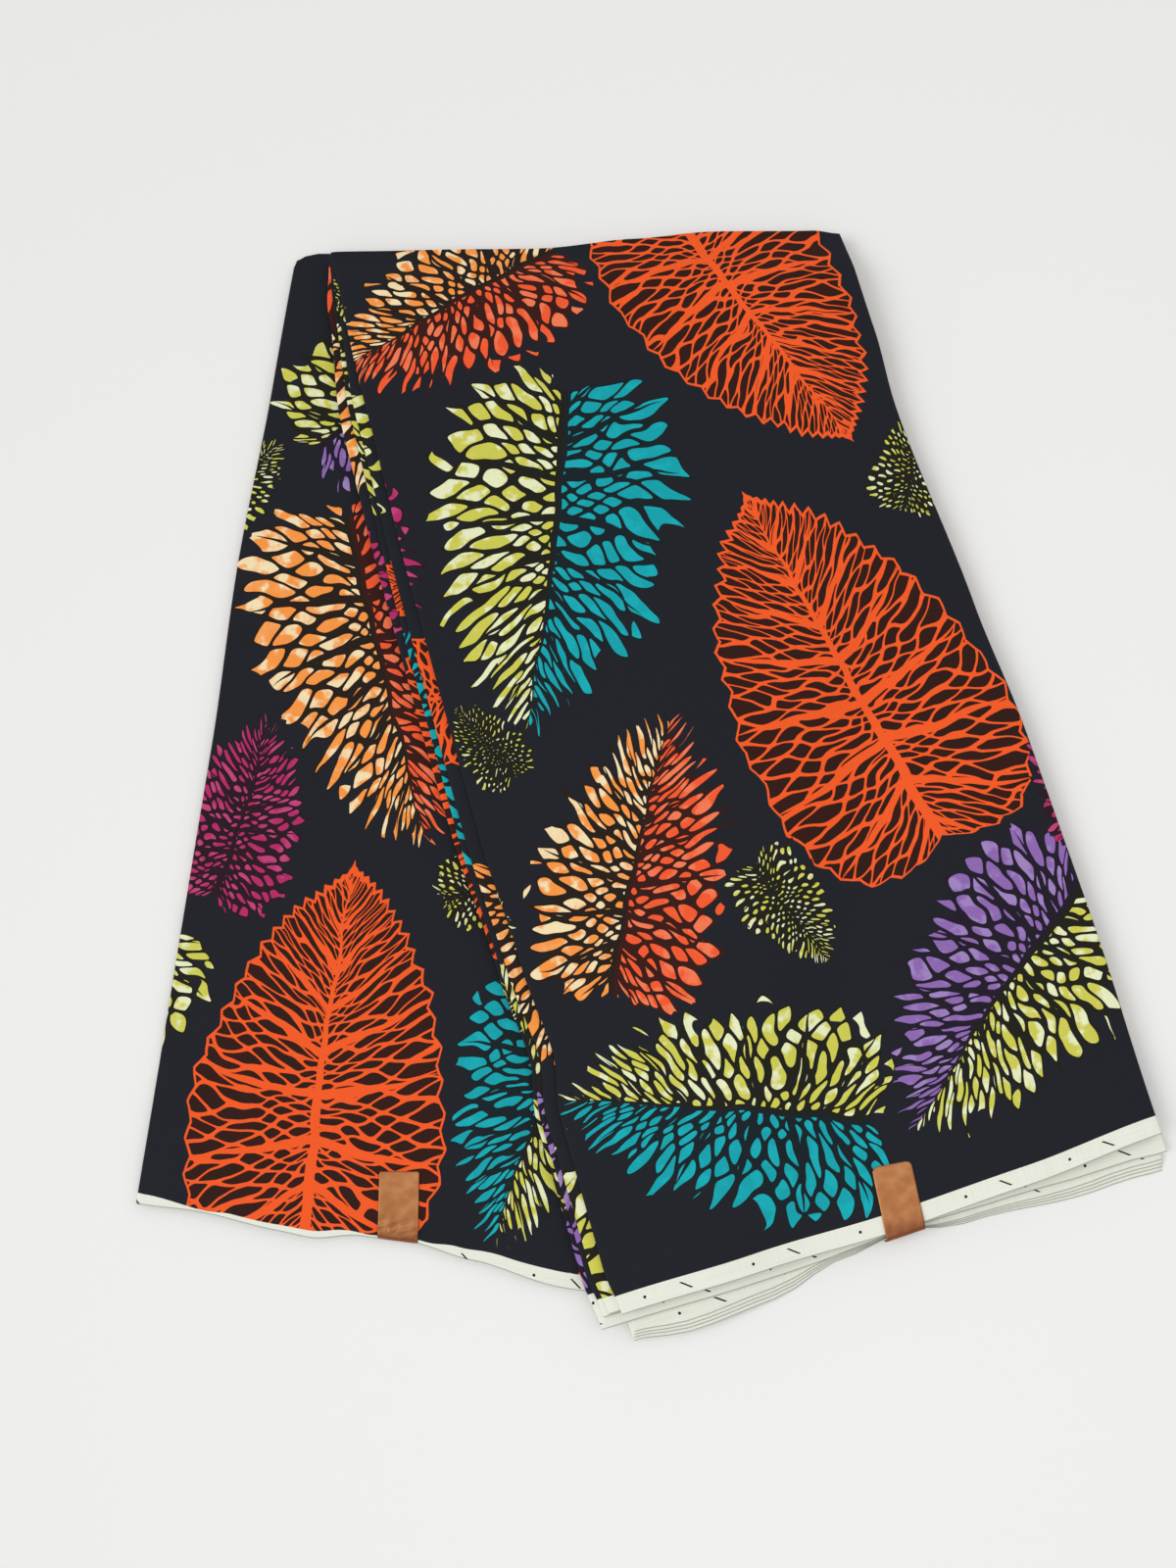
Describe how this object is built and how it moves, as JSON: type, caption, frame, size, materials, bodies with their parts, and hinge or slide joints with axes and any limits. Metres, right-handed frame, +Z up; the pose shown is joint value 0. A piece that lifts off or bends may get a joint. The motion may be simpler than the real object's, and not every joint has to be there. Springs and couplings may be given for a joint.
{
  "type": "folded wax print fabric",
  "caption": "Length of leaf-printed wax cotton folded into a flat bundle and fanned into two overlapping leaves, with its selvages and foil labels at the hems.",
  "frame": {"origin": "centre of the folded bundle's footprint, on the surface that it lies on", "axes": "+X to the right across the hems, +Y from the hems towards the middle fold, +Z up from the surface"},
  "size_m": [0.5752, 0.6659, 0.0171],
  "materials": {
    "printed_cotton": "plain-woven waxed cotton, leaf print on a navy ground",
    "label_foil": "satin copper-brown foil label, bare"
  },
  "bodies": {
    "root": {"left_layers": "printed_cotton", "left_panel": "printed_cotton", "front_layers": "printed_cotton", "fold_lower": "printed_cotton", "fold_middle": "printed_cotton", "fold_upper": "printed_cotton", "front_panel": "printed_cotton", "label_left": "label_foil", "label_front": "label_foil"}
  },
  "joints": []
}
